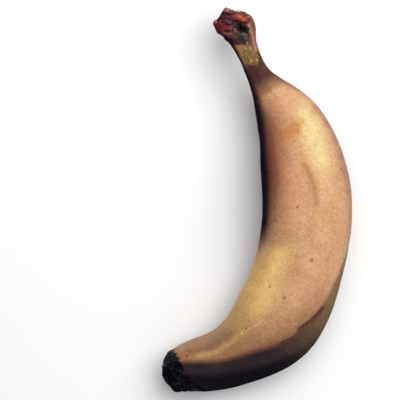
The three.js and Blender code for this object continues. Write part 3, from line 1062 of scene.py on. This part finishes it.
@dataclass
class FineRelief:
    """Relief that is too small for the solid: gnarls, wrinkles, blisters and crust, in millimetres.

    A size is that of the noise's clouds. The wrinkles' three are along, across and up the fruit, and the
    folds' are along X, Y and Z. fibre_scale is how many clouds a millimetre holds along, across and up.
    """

    dent: float = 0.16
    dent_size: float = 13.0
    pore: float = 0.03
    pore_size: float = 1.7
    neck_wrinkle: float = 0.06
    wrinkle_size: Point = (12, 1.6, 1.6)
    fold: float = 0.65
    fold_size: Point = (9.0, 4.0, 4.5)
    fold_width: float = 0.22
    fold_sharpness: float = 1.5
    fibre: float = 0.35
    fibre_scale: Point = (0.35, 1.1, 1.1)
    fibre_proud: float = 1.2
    crust: float = 0.8
    shell_size: float = 2.2
    crack_width: float = 0.25
    crack_hollow: float = 0.8
    crumb_span: Span = (0.28, 0.6)
    scar_lift: float = 0.16
    blister_lift: float = 0.3
    crease_depth: float = 0.55
    rift_depth: float = 0.8
    stub_step: float = 0.1
    smooth_ends: float = 3.0
    least_mark: float = 0.01

    def read(self, rule: Callable[[Vector], float], points: Array, where: Array) -> Array:
        """Reads a noise rule at the points that a mark covers.

        Args:
            rule: gives the noise at a place.
            points: where to read it, rings by sides by 3.
            where: the mark, which is 0 where nothing needs to be read.

        Returns:
            The noise, and 0 outside the mark.
        """
        values = np.zeros(where.shape)
        rows, columns = np.nonzero(where > self.least_mark)
        values[rows, columns] = [rule(Vector(point)) for point in points[rows, columns]]
        return values

    def shape(self, grid: SkinGrid, marks: dict[str, Array]) -> dict[str, Array]:
        """Works out the relief, moves the skin by it, and says where it is deep and where it stands proud.

        Args:
            grid: the skin, which is changed.
            marks: its marks.

        Returns:
            Three more marks for the shader: hollow, where it paints shade, proud, where it paints highlights,
                and the crumbs that stand out of the stub, which it paints with highlights too.
        """
        everywhere = np.ones(grid.across.shape)
        torn, stub = marks["torn"], marks["stub"]
        straight = grid.straight()

        dents = self.read(lambda p: noise.fractal(p / self.dent_size, 0.8, 2.1, 3), grid.points, everywhere)
        pores = self.read(lambda p: noise.noise(p / self.pore_size), grid.points, everywhere)

        neck = marks["neck"] * (1 - torn)
        drawn_out = straight / np.array(self.wrinkle_size)
        wrinkles = self.read(
            lambda p: noise.ridged_multi_fractal(p, 0.9, 2.0, 3, 1.0, 1.5) - 1, drawn_out, neck
        )

        folds = self.read(lambda p: abs(noise.noise(p)), grid.points / np.array(self.fold_size), torn)
        drawn_out = straight * np.array(self.fibre_scale)
        fibres = self.read(lambda p: noise.fractal(p, 0.9, 2.0, 2), drawn_out, torn)
        shell = self.read(lambda p: abs(noise.fractal(p / self.shell_size, 0.9, 2.0, 2)), grid.points, stub)

        folded = 1 - np.clip(folds / self.fold_width, 0, 1)
        cracked = 1 - np.clip(shell / self.crack_width, 0, 1)
        rise = (self.fibre * fibres - self.fold * folded**self.fold_sharpness) * torn
        rise -= self.crust * cracked * stub
        rise += self.dent * dents + self.pore * pores + self.neck_wrinkle * wrinkles * neck
        rise += self.scar_lift * marks["scar"] + self.blister_lift * marks["blister"]
        rise -= self.crease_depth * marks["crease"] + self.stub_step * stub + self.rift_depth * marks["rift"]
        for end in (0, -1):
            rise *= smooth_step(0, self.smooth_ends, np.abs(grid.place - grid.place[end]))[:, None]
        grid.push(rise)
        return {
            # The shader paints shade into hollow, and highlights onto proud and crumb.
            "hollow": np.clip(folded**2 * torn + self.crack_hollow * cracked * stub, 0, 1),
            "proud": np.clip(0.5 + self.fibre_proud * fibres, 0, 1) * (1 - folded) * torn,
            "crumb": smooth_step(*self.crumb_span, shell) * stub,
        }


class Wire:
    """One socket of a shader, used in sums as the number that it carries."""

    def __init__(self, sheet: "ShaderSheet", socket: bpy.types.NodeSocket) -> None:
        """Keeps the socket and the sheet that it is on."""
        self.sheet = sheet
        self.socket = socket

    def sum_of(self, operation: str, first: "Value", second: "Value") -> "Wire":
        """Adds a Math node for one operation on two values."""
        return self.sheet.node("ShaderNodeMath", {"operation": operation}, {0: first, 1: second})

    def __add__(self, other: "Value") -> "Wire":
        """self + other."""
        return self.sum_of("ADD", self, other)

    def __radd__(self, other: "Value") -> "Wire":
        """other + self."""
        return self.sum_of("ADD", other, self)

    def __sub__(self, other: "Value") -> "Wire":
        """self - other."""
        return self.sum_of("SUBTRACT", self, other)

    def __rsub__(self, other: "Value") -> "Wire":
        """other - self."""
        return self.sum_of("SUBTRACT", other, self)

    def __mul__(self, other: "Value") -> "Wire":
        """self * other."""
        return self.sum_of("MULTIPLY", self, other)

    def __rmul__(self, other: "Value") -> "Wire":
        """other * self."""
        return self.sum_of("MULTIPLY", other, self)

    def step(self, low: float, high: float) -> "Wire":
        """Rises smoothly from 0 where this value is low to 1 where it is high.

        Args:
            low, high: where the step starts and ends.

        Returns:
            The step's height.
        """
        settings = {"interpolation_type": "SMOOTHSTEP"}
        sockets = {"Value": self, "From Min": low, "From Max": high}
        return self.sheet.node("ShaderNodeMapRange", settings, sockets)


Value = Wire | float
Fill = Wire | Colour
Sockets = dict[str | int, object]


class ShaderSheet:
    """A material and the nodes that make it."""

    # The Mix node's sockets have the same names for each kind of value, so those for colours go by number.
    MIX_SHARE = 0
    MIX_FIRST = 6
    MIX_SECOND = 7
    MIX_COLOUR = 2

    def __init__(self, name: str) -> None:
        """Starts an empty material.

        Args:
            name: the material's name.
        """
        self.material = bpy.data.materials.new(name)
        self.material.use_nodes = True
        self.tree = self.material.node_tree
        self.tree.nodes.clear()

    def node(self, kind: str, settings: dict[str, object], sockets: Sockets, output: int | str = 0) -> Wire:
        """Adds a node.

        Args:
            kind: the node's type.
            settings: its properties, set before its sockets.
            sockets: a value or a wire for each socket, by name or number.
            output: which of its outputs is wanted.

        Returns:
            That output.
        """
        made = self.tree.nodes.new(kind)
        for key, value in settings.items():
            setattr(made, key, value)
        for key, value in sockets.items():
            if isinstance(value, Wire):
                self.tree.links.new(value.socket, made.inputs[key])
            elif made.inputs[key].type == "RGBA":
                made.inputs[key].default_value = (*value, 1)
            else:
                made.inputs[key].default_value = value
        return Wire(self, made.outputs[output])

    def mark(self, name: str) -> Wire:
        """A value that the mesh carries at its points."""
        return self.node("ShaderNodeAttribute", {"attribute_name": name}, {}, "Fac")

    def mix(self, first: Fill, second: Fill, share: Value, blend: str = "MIX") -> Wire:
        """Lays the second colour over the first.

        Args:
            first, second: the colours.
            share: how much of the second is seen.
            blend: the Mix node's way of blending.

        Returns:
            The mixed colour.
        """
        settings = {"data_type": "RGBA", "blend_type": blend}
        sockets = {self.MIX_SHARE: share, self.MIX_FIRST: first, self.MIX_SECOND: second}
        return self.node("ShaderNodeMix", settings, sockets, self.MIX_COLOUR)

    def noise(self, size_mm: float, detail: float = 2.0, stretch: Point | None = None) -> Wire:
        """Cloudy noise from 0 to 1.

        Args:
            size_mm: the size of its clouds.
            detail: how many finer layers it has.
            stretch: where given, the noise follows the bent fruit, and is drawn out by these along it, across
                it and up.

        Returns:
            The noise.
        """
        if stretch is None:
            where = self.node("ShaderNodeTexCoord", {}, {}, "Object")
            scale = 1 / (size_mm * MM)
        else:
            straight = self.node("ShaderNodeAttribute", {"attribute_name": "straight"}, {}, "Vector")
            draw = tuple(1 / share for share in stretch)
            where = self.node("ShaderNodeVectorMath", {"operation": "MULTIPLY"}, {0: straight, 1: draw})
            scale = 1 / size_mm
        return self.node("ShaderNodeTexNoise", {}, {"Vector": where, "Scale": scale, "Detail": detail})

    def finish(
        self, constants: dict[str, object], sockets: dict[str, Wire], dull: Wire | None = None
    ) -> bpy.types.Material:
        """Adds the surface shader and the output.

        Args:
            constants: what is the same all over.
            sockets: what changes over the surface.
            dull: where the surface has no shine at all, if anywhere.

        Returns:
            The material.
        """
        surface = self.node("ShaderNodeBsdfPrincipled", {}, {**constants, **sockets})
        if dull is not None:
            matt = {"Roughness": 1, "Specular IOR Level": 0, "Base Color": sockets["Base Color"]}
            flat = self.node("ShaderNodeBsdfPrincipled", {}, matt)
            surface = self.node("ShaderNodeMixShader", {}, {0: dull, 1: surface, 2: flat})
        output = self.tree.nodes.new("ShaderNodeOutputMaterial")
        self.tree.links.new(surface.socket, output.inputs["Surface"])
        return self.material


class Edge(Enum):
    """How a colour's edge meets the skin round it."""

    PLAIN = "just as its mark fades"
    SOFT = "a little uneven"
    BLOTCHED = "in blotches"
    GRAINY = "in grains"
    HIGH = "only where its mark is strong"


@dataclass(frozen=True)
class ColourLayer:
    """A colour laid over the skin where a mark is."""

    mark: str
    colour: Colour
    strength: float = 1.0
    edge: Edge = Edge.SOFT


@dataclass(frozen=True)
class RipeSkinFinish:
    """The skin's colours, from the plain skin up through the layers over it, some of them painted shade or
    highlights, with its grain and gloss.

    Unevenness, blotching and graininess are how much a noise changes a layer's edge. A span is where a step
    of a noise or a mark starts and ends. dull_marks take the shine away, each by its share, and bump_depth is
    in metres.
    """

    skin: Colour = screen(204, 154, 110)
    pale_skin: Colour = screen(218, 170, 122)
    dusky_skin: Colour = screen(184, 134, 92)
    layers: tuple[ColourLayer, ...] = (
        ColourLayer("outer", screen(186, 138, 102), 0.45),
        ColourLayer("pink", screen(200, 143, 110), 0.65),
        ColourLayer("peach", screen(232, 168, 124), 0.55),
        ColourLayer("gold", screen(250, 204, 126), 0.95),
        ColourLayer("sand", screen(222, 178, 124), 0.5),
        # Pale yellow skin with a painted highlight.
        ColourLayer("yellow_and_highlight", screen(222, 202, 140), 0.95),
        # Riper skin with painted shade towards the blossom end.
        ColourLayer("dusk", screen(146, 100, 64), 0.8),
        # Painted shade in the valley near the tip.
        ColourLayer("dusky", screen(108, 80, 54), 0.7),
        # Pale skin with a painted highlight along the ridge.
        ColourLayer("pale_ridge", screen(200, 156, 100), 0.55),
        ColourLayer("flush", screen(156, 92, 66), 0.75),
        ColourLayer("blush", screen(168, 104, 76), 0.2),
        ColourLayer("olive", screen(184, 138, 58), 0.75),
        # Painted shade along the body's outline.
        ColourLayer("edge", screen(136, 86, 58), 0.65),
        # Red-brown skin with painted shade towards the inner side.
        ColourLayer("red_brown", screen(122, 52, 32), 0.97),
        # Dark skin and painted shade at the border of the inner side.
        ColourLayer("umber", screen(62, 36, 34), 0.6),
        ColourLayer("stain", screen(190, 118, 40), 0.8),
        ColourLayer("streak_haze", screen(186, 138, 84), 0.4),
        ColourLayer("streak", screen(156, 102, 46), 0.65),
        # Painted shade on the faces turned down.
        ColourLayer("underside", screen(84, 64, 52), 0.9, Edge.BLOTCHED),
        ColourLayer("strip_shade", screen(122, 78, 50), 0.55),
        # Dark ripe skin with painted shade on the lower face.
        ColourLayer("strip", screen(126, 101, 73), 0.92),
        ColourLayer("lower_dark_skin_and_shade", screen(50, 41, 46), 0.96),
        ColourLayer("lower_light", screen(96, 76, 76), 0.75, Edge.BLOTCHED),
        # Near black skin with painted shade at the bottom of the lower face.
        ColourLayer("lower_black_skin_and_shade", screen(17, 17, 27), 0.92),
        ColourLayer("seam", screen(98, 54, 44), 0.6),
        ColourLayer("neck", screen(146, 100, 62), 0.85, Edge.BLOTCHED),
        ColourLayer("neck_dark", screen(66, 38, 37), 0.95),
        ColourLayer("neck_light", screen(164, 122, 98), 0.85),
        ColourLayer("neck_shade", screen(24, 15, 20), 0.95),
        # Near black: dark ripe skin with painted shade on the inner side.
        ColourLayer("inner_dark_skin_and_shade", screen(28, 21, 30), 0.98),
        ColourLayer("neck_edge", screen(92, 46, 36), 0.75),
        ColourLayer("scar", screen(120, 90, 46), 0.95),
        ColourLayer("collar_dark", screen(40, 19, 28), 0.95, Edge.BLOTCHED),
        ColourLayer("blister", screen(214, 200, 166), 0.9),
        # Dark purple crease with painted shade in its groove.
        ColourLayer("crease", screen(78, 40, 44), 0.85),
        ColourLayer("scratch", screen(222, 184, 126), 0.75, Edge.GRAINY),
        ColourLayer("dot", screen(118, 64, 34), 0.85),
        ColourLayer("torn", screen(66, 34, 42), 1.0),
        ColourLayer("crown", screen(106, 50, 62), 0.8),
        ColourLayer("cheek", screen(130, 46, 58), 0.85),
        ColourLayer("rim", screen(106, 54, 40), 0.92, Edge.BLOTCHED),
        ColourLayer("temple", screen(120, 44, 42), 0.8),
        ColourLayer("rim_light", screen(178, 120, 90), 0.66),
        ColourLayer("ember", screen(158, 56, 44), 0.9),
        ColourLayer("glow", screen(222, 104, 56), 0.85),
        ColourLayer("lip", screen(160, 98, 80), 0.7),
        ColourLayer("nub", screen(128, 82, 66), 0.8, Edge.BLOTCHED),
        ColourLayer("bruise", screen(104, 58, 54), 0.7, Edge.BLOTCHED),
        ColourLayer("blot", screen(22, 16, 26), 0.85, Edge.BLOTCHED),
        # Painted shade in the knob's cracks and creases.
        ColourLayer("rift", screen(14, 8, 14), 0.9),
        # Painted highlights on the knob's wet flesh.
        ColourLayer("knob_glint", screen(224, 150, 126), 0.75),
        ColourLayer("stub_rim", screen(124, 64, 56), 0.6),
        ColourLayer("stub", screen(14, 14, 21), 1.0, Edge.BLOTCHED),
        # Painted shade in the knob's deep pit.
        ColourLayer("pit", screen(5, 4, 6), 1.0),
        ColourLayer("sheen", screen(100, 104, 92), 0.6),
        # Painted shade in the folds of the torn flesh and in the stub's cracks.
        ColourLayer("hollow", screen(14, 7, 12), 0.65, Edge.PLAIN),
        # Painted pink highlights where the torn fibres stand proud.
        ColourLayer("proud", screen(150, 84, 80), 0.25, Edge.HIGH),
        # Painted bluish highlights on the crumbs of the stub's crust.
        ColourLayer("crumb", screen(46, 47, 58), 0.55, Edge.PLAIN),
    )
    plain_share: float = 0.55
    grain_mm: float = 0.65
    grain_contrast: float = 0.24
    mottle_mm: float = 2.6
    mottle_contrast: float = 0.08
    cloud_mm: float = 11.0
    strand_mm: float = 3.0
    strand_stretch: Point = (9, 1, 1)
    noise_span: Span = (0.3, 0.7)
    unevenness: float = 0.2
    blotching: float = 0.7
    blotch_span: Span = (0.28, 0.72)
    graininess: float = 0.9
    grain_span: Span = (0.2, 0.8)
    break_span: Span = (0.02, 0.3)
    high_span: Span = (0.6, 1.0)
    ior: float = 1.45
    gloss: float = 0.35
    roughness: float = 0.5
    grain_roughness: float = 0.12
    wet_gloss: float = 0.1
    strand_height: float = 0.6
    bump_strength: float = 0.6
    bump_depth: float = 0.00012
    dull_marks: tuple[tuple[str, float], ...] = (
        ("inner_dark_skin_and_shade", 1), ("strip", 1), ("underside", 1), ("neck_shade", 1), ("stub", 0.5), ("torn", 0.4),
        ("neck_dark", 0.6),
    )
    dull_span: Span = (0.0, 0.9)

    def broken(self, mark: Wire, pattern: Wire, amount: float, span: Span) -> Wire:
        """Breaks a mark's edge up.

        Args:
            mark: the mark.
            pattern: the noise that breaks it.
            amount: how far the noise reaches into the mark.
            span: where the broken edge starts and ends.

        Returns:
            The broken mark, which is 0 where the mark is.
        """
        return (mark + amount * (pattern - 0.5)).step(*span) * mark.step(*self.break_span)

    def material(self) -> bpy.types.Material:
        """Builds the skin's material.

        Returns:
            The material.
        """
        sheet = ShaderSheet("ripe_skin")
        grain = sheet.noise(self.grain_mm, 3.0)
        mottle = sheet.noise(self.mottle_mm, 2.0)
        clouds = sheet.noise(self.cloud_mm, 3.0)
        strands = sheet.noise(self.strand_mm, 3.0, self.strand_stretch)
        edges = {
            Edge.PLAIN: lambda mark: mark,
            Edge.SOFT: lambda mark: mark * (1 - self.unevenness / 2 + self.unevenness * clouds),
            Edge.BLOTCHED: lambda mark: self.broken(mark, strands, self.blotching, self.blotch_span),
            Edge.GRAINY: lambda mark: self.broken(mark, grain, self.graininess, self.grain_span),
            Edge.HIGH: lambda mark: mark.step(*self.high_span),
        }
        marks = {layer.mark: sheet.mark(layer.mark) for layer in self.layers}

        colour = sheet.mix(self.dusky_skin, self.pale_skin, clouds.step(*self.noise_span))
        colour = sheet.mix(colour, self.skin, self.plain_share)
        for layer in self.layers:
            share = edges[layer.edge](marks[layer.mark]) * layer.strength
            colour = sheet.mix(colour, layer.colour, share)
        for pattern, contrast in ((grain, self.grain_contrast), (mottle, self.mottle_contrast)):
            colour = sheet.mix(colour, pattern.step(*self.noise_span), contrast, "OVERLAY")

        wet = marks["torn"] + marks["ember"]
        rough = self.roughness + self.grain_roughness * (grain - 0.5) - self.wet_gloss * wet
        bump = {
            "Height": grain + self.strand_height * strands,
            "Strength": self.bump_strength,
            "Distance": self.bump_depth,
        }
        dull = sum(share * marks[name] for name, share in self.dull_marks)
        return sheet.finish(
            {"IOR": self.ior, "Specular IOR Level": self.gloss},
            {"Base Color": colour, "Roughness": rough, "Normal": sheet.node("ShaderNodeBump", {}, bump)},
            dull.step(*self.dull_span),
        )


@dataclass
class PlantainSkin:
    """The whole fruit's skin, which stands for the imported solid."""

    form: FruitForm = field(default_factory=FruitForm)
    marks: SkinMarks = field(default_factory=SkinMarks)
    relief: FineRelief = field(default_factory=FineRelief)
    finish: RipeSkinFinish = field(default_factory=RipeSkinFinish)
    node: str = "plantain"
    grid: SkinGrid = field(init=False)
    values: dict[str, Array] = field(init=False)

    def build(self) -> bpy.types.Object:
        """Shapes the skin, marks it, makes its mesh and dresses it.

        Returns:
            The finished piece.
        """
        self.grid = self.form.skin()
        shift = self.shift_to_solid()
        self.values = self.marks.all_marks(self.grid)
        self.values |= self.relief.shape(self.grid, self.values)
        self.grid.points = self.grid.points + shift
        piece = self.make_mesh()
        piece.data.materials.append(self.finish.material())
        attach(piece, "root")
        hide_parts(self.node)
        return piece

    def shift_to_solid(self) -> Array:
        """How far the stations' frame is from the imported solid's, level with the floor.

        Returns:
            The shift in millimetres that brings the middles of both boxes together.
        """
        low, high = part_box(self.node)
        middle = (np.array(low) + np.array(high)) / 2 / MM
        points = self.grid.points.reshape(-1, 3)
        shift = middle - (points.min(axis=0) + points.max(axis=0)) / 2
        return shift * np.array([1, 1, 0])

    def make_mesh(self) -> bpy.types.Object:
        """Joins the rings by faces and closes both ends with a point.

        Returns:
            The piece, with its marks as values on its points.
        """
        rings, sides = self.grid.across.shape
        index = np.arange(rings * sides).reshape(rings, sides)
        following = np.roll(index, -1, axis=1)
        corners = [following[:-1], index[:-1], index[1:], following[1:]]
        faces = np.stack(corners, axis=2).reshape(-1, 4).tolist()
        knob_end, blossom_end = rings * sides, rings * sides + 1
        faces += [[knob_end, a, b] for a, b in zip(index[0].tolist(), following[0].tolist())]
        faces += [[b, a, blossom_end] for a, b in zip(index[-1].tolist(), following[-1].tolist())]
        marks = {name: with_ends(values) for name, values in self.values.items()}
        marks["straight"] = with_ends(self.grid.straight())
        return make_piece("plantain_skin", with_ends(self.grid.points), faces, marks)


@dataclass(frozen=True)
class DryFibreFinish:
    """Dry, torn fibre, from near black to khaki."""

    dark: Colour = screen(38, 24, 26)
    pale: Colour = screen(176, 146, 84)
    roughness: float = 0.75
    gloss: float = 0.3
    cloud_mm: float = 0.8
    unevenness: float = 0.4

    def material(self) -> bpy.types.Material:
        """Builds the fibres' material.

        Returns:
            The material.
        """
        sheet = ShaderSheet("dry_fibre")
        tone = sheet.mark("tone")
        uneven = 1 - self.unevenness / 2 + self.unevenness * sheet.noise(self.cloud_mm)
        colour = sheet.mix(self.dark, self.pale, tone * uneven)
        constants = {"Roughness": self.roughness, "Specular IOR Level": self.gloss}
        return sheet.finish(constants, {"Base Color": colour})


@dataclass
class TornFibres:
    """Short dry shreds that stand out of the torn knob, each a bent, tapered strand with its root sunk in."""

    grid: SkinGrid
    torn: Array
    count: int = 34
    seed: int = 11
    least_torn: float = 0.9
    lowest_facing: float = -0.2
    lengths: Span = (1.2, 2.8)
    widths: Span = (0.1, 0.26)
    lifts: Span = (0.1, 0.4)
    root_depth: float = 0.3
    arch: float = 0.6
    sway: float = 0.3
    rings: int = 8
    sides: int = 6
    flat: float = 0.5
    taper: float = 0.6
    pale_share: float = 0.25
    pale_tones: Span = (0.6, 1.0)
    dark_tones: Span = (0.0, 0.25)
    tuft: tuple[Point, ...] = ((-14, 105.9, 28), (-12.8, 106, 28), (-12.2, 105.6, 29), (-11.6, 106, 27.6))
    tuft_width: float = 0.55
    tuft_lift: float = 0.8
    tuft_slant: float = 0.3
    finish: DryFibreFinish = field(default_factory=DryFibreFinish)

    def build(self) -> bpy.types.Object:
        """Makes all the shreds as one mesh and dresses it.

        Returns:
            The finished piece.
        """
        random = np.random.default_rng(self.seed)
        normals = self.grid.normals()
        rows, columns = np.nonzero((self.torn > self.least_torn) & (normals[:, :, 2] > self.lowest_facing))
        chosen = random.choice(len(rows), self.count, replace=False)
        roots = [(row, column, False) for row, column in zip(rows[chosen], columns[chosen])]
        for place in self.tuft:
            gap = np.linalg.norm(self.grid.points - np.array(place), axis=2)
            roots.append((*np.unravel_index(gap.argmin(), gap.shape), True))
        points, faces, tones = [], [], []
        for row, column, in_tuft in roots:
            strand = self.strand(random, self.grid.points[row, column], normals[row, column], in_tuft)
            first = len(points)
            points += strand.reshape(-1, 3).tolist() + [strand[-1].mean(axis=0).tolist()]
            faces += self.strand_faces(first)
            pale = in_tuft or random.random() < self.pale_share
            tone = random.uniform(*(self.pale_tones if pale else self.dark_tones))
            tones += [tone] * (len(points) - first)
        piece = make_piece("knob_shreds", np.array(points), faces, {"tone": np.array(tones)})
        piece.data.materials.append(self.finish.material())
        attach(piece, "root")
        return piece

    def strand(self, random: np.random.Generator, root: Array, normal: Array, in_tuft: bool) -> Array:
        """Shapes one shred.

        Args:
            random: the run of random numbers.
            root: where it leaves the flesh.
            normal: the flesh's outward direction there.
            in_tuft: whether it is one of the tuft's, which are broad and lie along the knob's end.

        Returns:
            Its points, rings by sides by 3.
        """
        length = random.uniform(*self.lengths)
        width = self.tuft_width if in_tuft else random.uniform(*self.widths)
        slant = self.tuft_slant
        lean = np.array([1, random.uniform(-slant, slant), 0]) if in_tuft else random.normal(size=3)
        lean -= (lean @ normal) * normal
        lean /= np.linalg.norm(lean)
        side = np.cross(normal, lean)
        share = np.linspace(0, 1, self.rings)[:, None]
        lift = self.tuft_lift if in_tuft else random.uniform(*self.lifts)
        rise = (lift + self.root_depth) * np.sin(share * math.pi * self.arch) - self.root_depth
        sway = random.uniform(-self.sway, self.sway) * length
        centre = root + normal * rise + lean * length * share + side * sway * share**2
        turn = np.arange(self.sides) * 2 * math.pi / self.sides
        half = width * (1 - self.taper * share**2)
        around = np.cos(turn)[None, :, None] * side + self.flat * np.sin(turn)[None, :, None] * normal
        return centre[:, None, :] + half[:, :, None] * around

    def strand_faces(self, first: int) -> list[list[int]]:
        """The faces of a shred whose points start at a number, with its root open inside the flesh.

        Args:
            first: its first point's number.

        Returns:
            Each face's point numbers.
        """
        index = first + np.arange(self.rings * self.sides).reshape(self.rings, self.sides)
        following = np.roll(index, -1, axis=1)
        walls = np.stack([index[:-1], following[:-1], following[1:], index[1:]], axis=2)
        tip = first + self.rings * self.sides
        tip_faces = [[a, b, tip] for a, b in zip(index[-1].tolist(), following[-1].tolist())]
        return walls.reshape(-1, 4).tolist() + tip_faces


@dataclass
class Studio:
    """A pale floor, soft light and a camera straight above, framed as the photograph.

    The key light's place and size are in metres and its power is in watts.
    """

    mm_per_pixel: float = 0.56
    picture_pixels: int = 400
    frame_origin_pixel: Place = (256.5, 200.6)
    outline_height_mm: float = 18.0
    lens_mm: float = 200.0
    sensor_mm: float = 36.0
    floor_size_mm: float = 6000.0
    floor_gap_mm: float = 0.2
    floor_tones: tuple[Colour, Colour] = (screen(249, 249, 249), screen(252, 252, 252))
    floor_cloud_mm: float = 120.0
    floor_roughness: float = 0.9
    key_at: Point = (0.30, 0.34, 0.80)
    key_size: float = 0.9
    key_power: float = 8.2
    fill_strength: float = 0.47

    def build(self) -> None:
        """Makes the floor, the lights and the camera."""
        self.make_floor()
        self.make_lights()
        self.make_camera()

    def make_floor(self) -> None:
        """A wide pale floor just under the fruit."""
        half, below = self.floor_size_mm / 2, -self.floor_gap_mm
        corners = [(-half, -half, below), (half, -half, below), (half, half, below), (-half, half, below)]
        floor = make_piece("floor", np.array(corners), [[0, 1, 2, 3]], {})
        sheet = ShaderSheet("pale_floor")
        colour = sheet.mix(*self.floor_tones, sheet.noise(self.floor_cloud_mm))
        floor.data.materials.append(sheet.finish({"Roughness": self.floor_roughness}, {"Base Color": colour}))

    def make_lights(self) -> None:
        """A soft key light up beside the stalk's outer side, and even light from all round."""
        lamp = bpy.data.lights.new("key_light", "AREA")
        lamp.size = self.key_size
        lamp.energy = self.key_power
        key = bpy.data.objects.new("key_light", lamp)
        key.location = self.key_at
        key.rotation_euler = Vector(self.key_at).to_track_quat("Z", "Y").to_euler()
        bpy.context.scene.collection.objects.link(key)
        world = bpy.data.worlds.new("soft_sky")
        world.use_nodes = True
        sky = world.node_tree.nodes["Background"].inputs
        sky["Color"].default_value = (1, 1, 1, 1)
        sky["Strength"].default_value = self.fill_strength
        bpy.context.scene.world = world
        bpy.context.scene.view_settings.view_transform = "Standard"

    def make_camera(self) -> None:
        """A camera straight above the middle of the photograph's frame, with its top towards +Y."""
        lens = bpy.data.cameras.new("camera")
        lens.lens = self.lens_mm
        lens.sensor_width = self.sensor_mm
        camera = bpy.data.objects.new("camera", lens)
        middle = self.picture_pixels / 2
        origin_x, origin_y = self.frame_origin_pixel
        x = (middle - origin_x) * self.mm_per_pixel
        y = (origin_y - middle) * self.mm_per_pixel
        distance = self.picture_pixels * self.mm_per_pixel * self.lens_mm / self.sensor_mm
        camera.location = (x * MM, y * MM, (self.outline_height_mm + distance) * MM)
        bpy.context.scene.collection.objects.link(camera)
        bpy.context.scene.camera = camera


def main() -> None:
    """Builds the studio and the fruit, and reports each piece."""
    logging.basicConfig(level=logging.INFO, format="%(name)s: %(message)s")
    Studio().build()
    log.info("studio: floor, light and camera")
    skin = PlantainSkin()
    piece = skin.build()
    log.info("%s: %d faces", piece.name, len(piece.data.polygons))
    piece = TornFibres(skin.grid, skin.values["torn"]).build()
    log.info("%s: %d faces", piece.name, len(piece.data.polygons))


if __name__ == "__main__":
    main()
